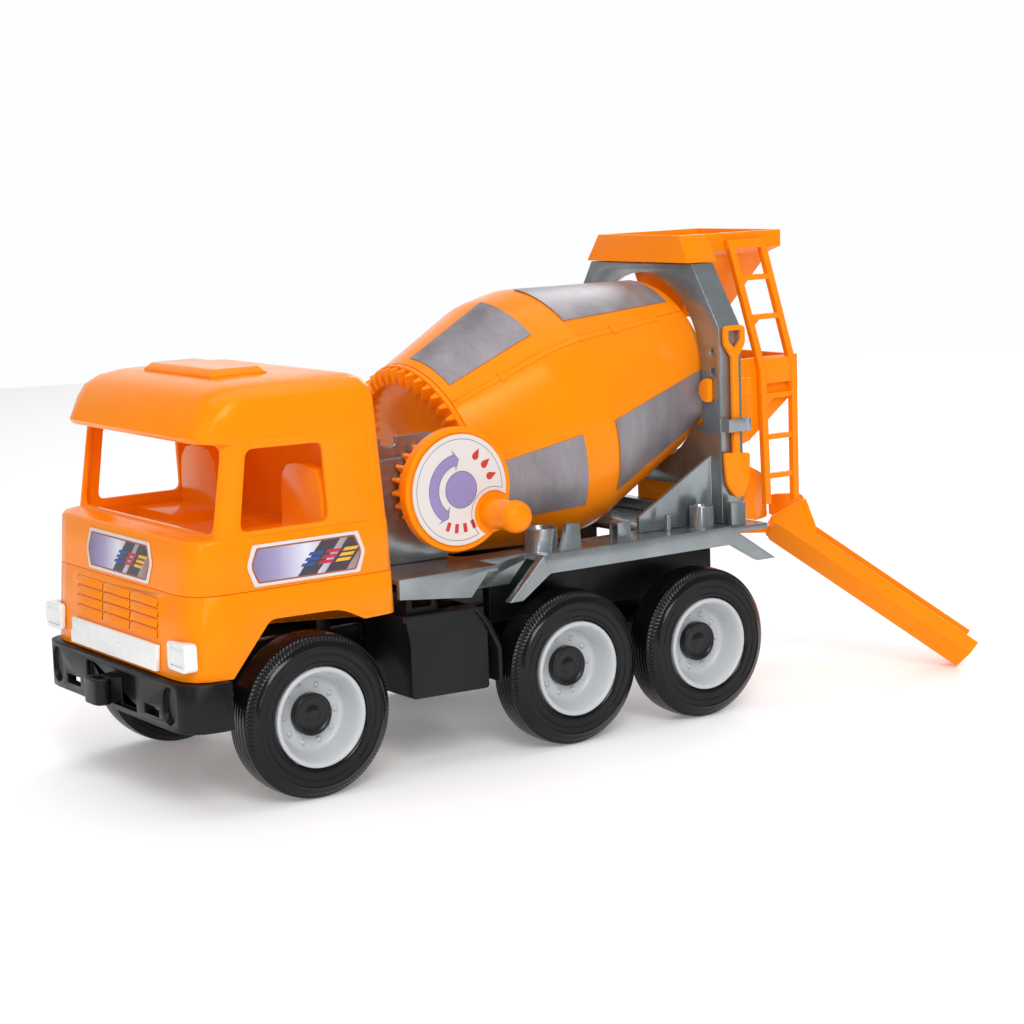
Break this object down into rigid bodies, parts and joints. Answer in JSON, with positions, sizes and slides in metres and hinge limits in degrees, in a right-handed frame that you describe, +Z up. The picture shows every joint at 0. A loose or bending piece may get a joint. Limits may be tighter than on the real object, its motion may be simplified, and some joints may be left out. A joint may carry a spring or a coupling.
{
  "type": "toy cement mixer truck",
  "caption": "Toy cement mixer truck: a hand crank turns the inclined drum through a crown gear, with swinging outlet chute, hopper, ladder, clip-on shovel and rolling wheels.",
  "frame": {"origin": "on the ground under the middle of the overall box", "axes": "+X forwards, the way the cab faces; +Y the truck's left, the crank side; +Z up"},
  "size_m": [0.5184, 0.188, 0.2526],
  "materials": {
    "orange_plastic": "satin moulded",
    "grey_plastic": "satin moulded",
    "black_plastic": "satin moulded",
    "tyre": "semi-gloss",
    "white_plastic": "satin moulded",
    "foil_panel": "satin foil",
    "printed_label": "printed",
    "axle_steel": "drawn"
  },
  "bodies": {
    "truck": {"chassis_frame": "black_plastic", "front_bumper": "black_plastic", "left_side_tank": "black_plastic", "right_side_tank": "black_plastic", "cab_lower": "orange_plastic", "cab_upper": "orange_plastic", "cab_interior": "orange_plastic", "left_headlight": "white_plastic", "right_headlight": "white_plastic", "grille_bar": "white_plastic", "front_sticker": "printed_label", "left_sticker": "printed_label", "right_sticker": "printed_label", "deck": "grey_plastic", "front_pedestal": "grey_plastic", "rear_arch": "grey_plastic", "hopper": "orange_plastic", "collector": "orange_plastic", "ladder": "orange_plastic", "outlet": "orange_plastic"},
    "front_wheels": {"front_axle": "axle_steel", "front_left_tyre": "tyre", "front_left_rim": "white_plastic", "front_left_hub_cap": "black_plastic", "front_right_tyre": "tyre", "front_right_rim": "white_plastic", "front_right_hub_cap": "black_plastic"},
    "middle_wheels": {"middle_axle": "axle_steel", "middle_left_tyre": "tyre", "middle_left_rim": "white_plastic", "middle_left_hub_cap": "black_plastic", "middle_right_tyre": "tyre", "middle_right_rim": "white_plastic", "middle_right_hub_cap": "black_plastic"},
    "rear_wheels": {"rear_axle": "axle_steel", "rear_left_tyre": "tyre", "rear_left_rim": "white_plastic", "rear_left_hub_cap": "black_plastic", "rear_right_tyre": "tyre", "rear_right_rim": "white_plastic", "rear_right_hub_cap": "black_plastic"},
    "drum": {"drum_near_half": "orange_plastic", "drum_far_half": "orange_plastic", "crown_gear": "orange_plastic", "drum_panel_front_1": "foil_panel", "drum_panel_front_2": "foil_panel", "drum_panel_front_3": "foil_panel", "drum_panel_front_4": "foil_panel", "drum_panel_rear_1": "foil_panel", "drum_panel_rear_2": "foil_panel", "drum_panel_rear_3": "foil_panel", "drum_panel_rear_4": "foil_panel"},
    "crank": {"crank_wheel": "orange_plastic", "crank_label": "printed_label", "crank_knob": "orange_plastic"},
    "chute": {"chute": "orange_plastic"},
    "shovel": {"shovel": "orange_plastic"}
  },
  "joints": [
    {"name": "front_wheels_spin", "type": "hinge", "parent": "truck", "child": "front_wheels", "pos_m": [0.17925, -0.0094, 0.04], "axis": [0, 1, 0], "continuous": true},
    {"name": "middle_wheels_spin", "type": "hinge", "parent": "truck", "child": "middle_wheels", "pos_m": [0.02845, -0.0094, 0.04], "axis": [0, 1, 0], "continuous": true},
    {"name": "rear_wheels_spin", "type": "hinge", "parent": "truck", "child": "rear_wheels", "pos_m": [-0.05735, -0.0094, 0.04], "axis": [0, 1, 0], "continuous": true},
    {"name": "drum_spin", "type": "hinge", "parent": "truck", "child": "drum", "pos_m": [-0.00075, -0.0094, 0.1597], "axis": [0.9686, 0, -0.2487], "continuous": true},
    {"name": "crank_spin", "type": "hinge", "parent": "truck", "child": "crank", "pos_m": [0.08739, -0.0094, 0.13707], "axis": [0, 1, 0], "continuous": true},
    {"name": "chute_swing", "type": "hinge", "parent": "truck", "child": "chute", "pos_m": [-0.13375, -0.0094, 0.084], "axis": [0, 0, 1], "range_deg": [-7, 83]},
    {"name": "shovel_pull", "type": "slide", "parent": "truck", "child": "shovel", "axis": [-1, 0, 0], "range_m": [0, 0.04]}
  ],
  "couplings": [
    {"joint": "crank_spin", "follows": "drum_spin", "ratio": 2.2}
  ]
}
